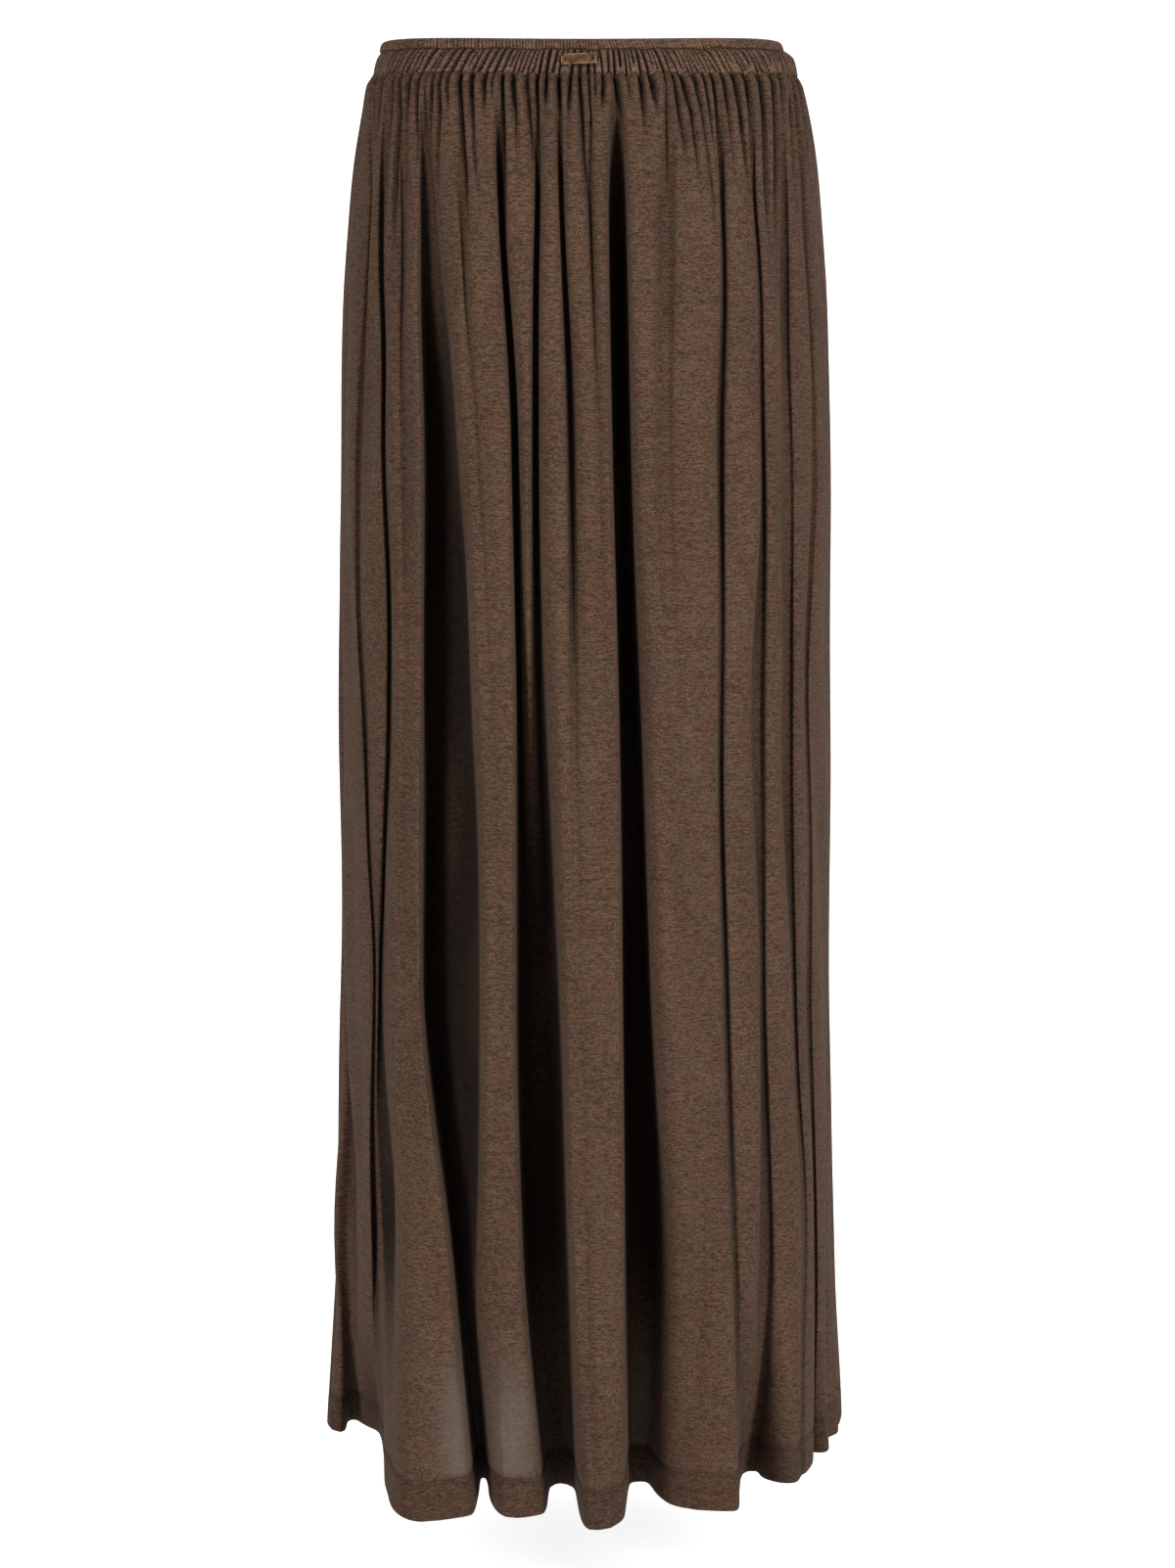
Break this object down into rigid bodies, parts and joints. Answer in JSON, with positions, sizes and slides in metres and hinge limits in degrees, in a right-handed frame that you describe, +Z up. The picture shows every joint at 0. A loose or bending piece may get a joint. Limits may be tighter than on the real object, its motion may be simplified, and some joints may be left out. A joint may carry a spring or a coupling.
{
  "type": "maxi skirt in gathered jersey with an elastic waist",
  "caption": "Long heathered brown jersey skirt, filled out as when worn: gathered elastic waistband, deep uneven folds down to a turned hem, small bare label plate at the waist.",
  "frame": {"origin": "middle of the waist opening, level with the waistband's top edge, where the wearer's waist holds the skirt", "axes": "+Z up, along the skirt's length; -Y is the front, where the label plate is; +X is the wearer's left"},
  "size_m": [0.3732, 0.3616, 0.98],
  "materials": {
    "jersey_band": "matte",
    "jersey_front": "matte",
    "jersey_back": "matte",
    "plate": "satin"
  },
  "bodies": {
    "root": {"waistband": "jersey_band", "front_panel": "jersey_front", "back_panel": "jersey_back", "label_plate": "plate"}
  },
  "joints": []
}
